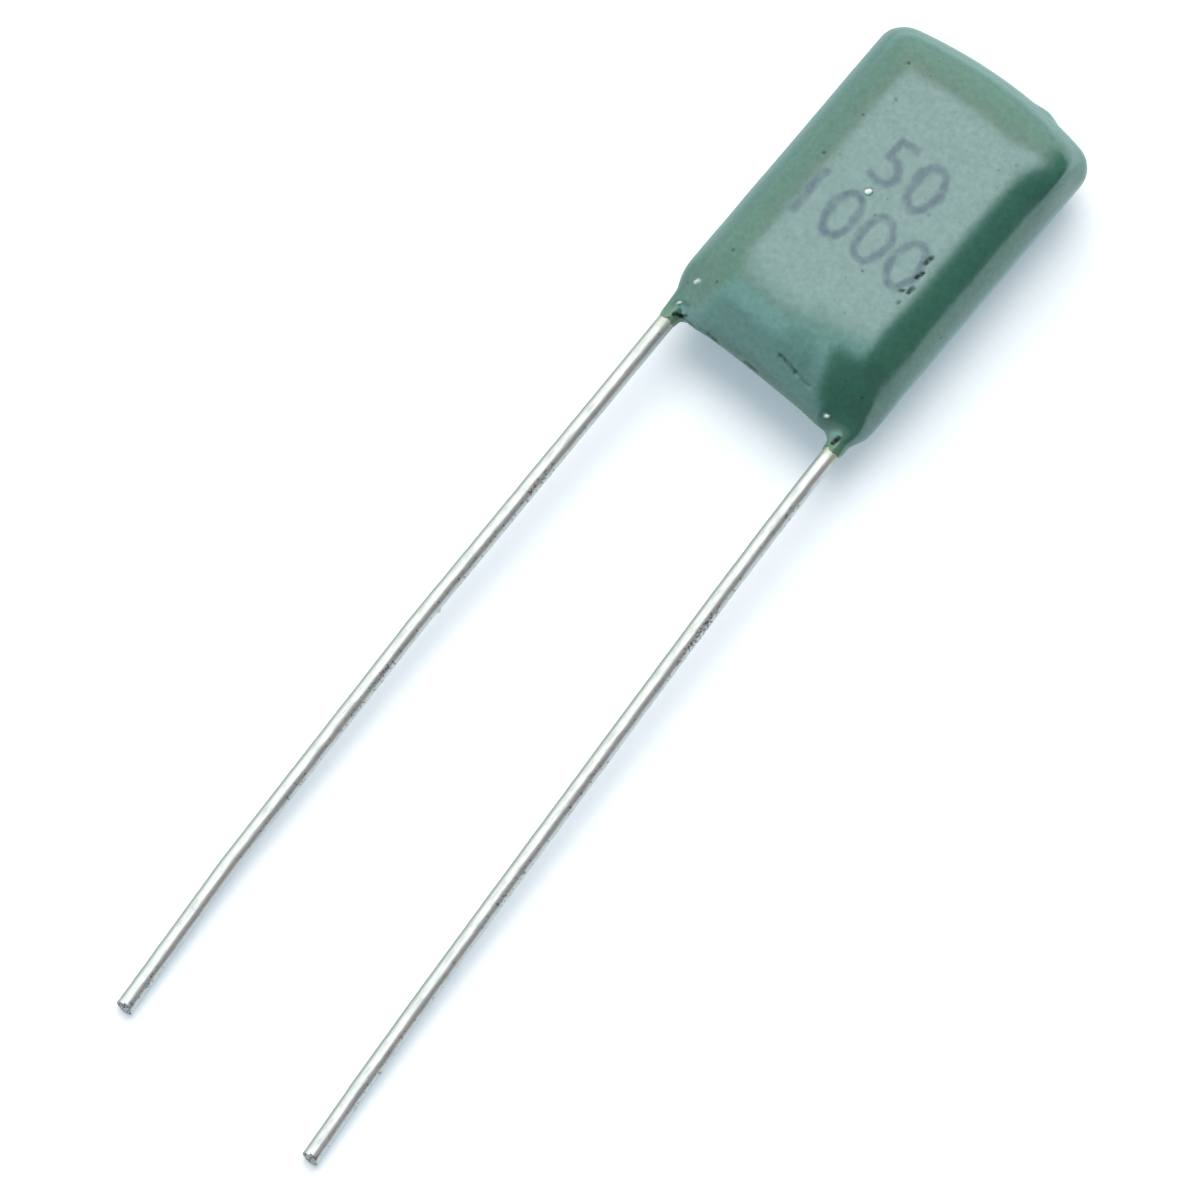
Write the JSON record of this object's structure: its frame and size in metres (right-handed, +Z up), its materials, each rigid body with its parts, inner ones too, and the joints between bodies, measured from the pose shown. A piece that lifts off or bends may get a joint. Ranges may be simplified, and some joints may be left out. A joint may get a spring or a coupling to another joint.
{
  "type": "polyester film capacitor",
  "caption": "Flat pillow-shaped film capacitor: a pressed film and foil winding dipped in glossy green epoxy, with radial tinned wire leads, lying on its back.",
  "frame": {"origin": "middle of the flat of the back face, on the surface the part lies on", "axes": "+X across the body to the right, seen from the printed face with the leads pointing down; +Y along the body, away from the leads; +Z up, out of the printed face"},
  "size_m": [0.0081, 0.0357, 0.0033],
  "materials": {
    "epoxy": "glossy dipped green epoxy, uneven",
    "film_foil": "clear polyester film over aluminium foil",
    "tinned_wire": "tinned, slightly dull, with drawing lines"
  },
  "bodies": {
    "root": {"coating": "epoxy", "winding": "film_foil", "lead_left": "tinned_wire", "lead_right": "tinned_wire"}
  },
  "joints": []
}
